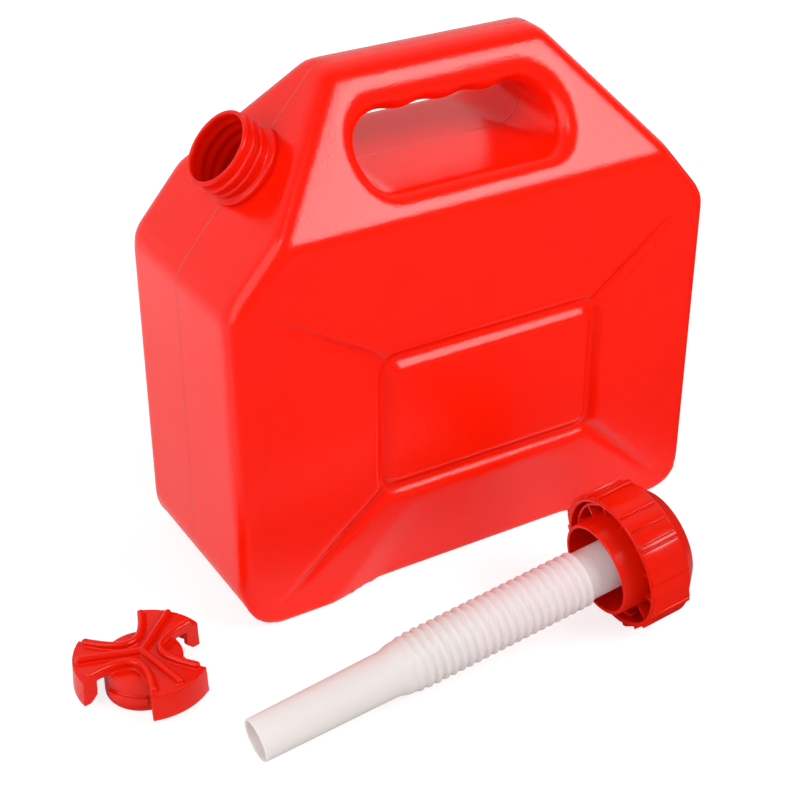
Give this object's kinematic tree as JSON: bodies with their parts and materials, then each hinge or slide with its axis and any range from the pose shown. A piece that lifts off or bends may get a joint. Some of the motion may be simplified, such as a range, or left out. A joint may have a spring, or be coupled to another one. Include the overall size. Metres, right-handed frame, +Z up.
{
  "type": "fuel can",
  "caption": "Plastic fuel can with a finger-grip handle opening and a slanted neck, its screw ring and flexible pouring spout, and a winged stopper lying beside it.",
  "frame": {"origin": "middle of the can's flat base, on the floor", "axes": "+X along the can's length away from the neck, -Y the front face, +Z up"},
  "size_m": [0.347, 0.2252, 0.254],
  "materials": {
    "can_plastic": "blow-moulded, satin gloss",
    "cap_plastic": "injection-moulded, gloss",
    "spout_plastic": "milky natural polyethylene",
    "seal_rubber": "matt"
  },
  "bodies": {
    "can": {"can_body": "can_plastic"},
    "spout": {"spout_base": "spout_plastic", "spout_bellows": "spout_plastic", "ring_seal": "seal_rubber"},
    "ring": {"ring_cap": "cap_plastic"},
    "nozzle": {"spout_nozzle": "spout_plastic"},
    "stopper": {"stopper": "cap_plastic"}
  },
  "joints": [
    {"name": "spout_lift", "type": "slide", "parent": "can", "child": "spout", "axis": [0, 0, 1], "range_m": [0, 0.2]},
    {"name": "ring_turn", "type": "hinge", "parent": "spout", "child": "ring", "pos_m": [0.0536, -0.1305, 0.03812], "axis": [0.9918, 0, 0.1282], "continuous": true},
    {"name": "spout_bend", "type": "hinge", "parent": "spout", "child": "nozzle", "pos_m": [-0.03824, -0.1305, 0.02626], "axis": [0, 1, 0], "range_deg": [0, 45], "deforming": ["spout_bellows"]},
    {"name": "stopper_lift", "type": "slide", "parent": "can", "child": "stopper", "axis": [0, 0, 1], "range_m": [0, 0.2]}
  ]
}
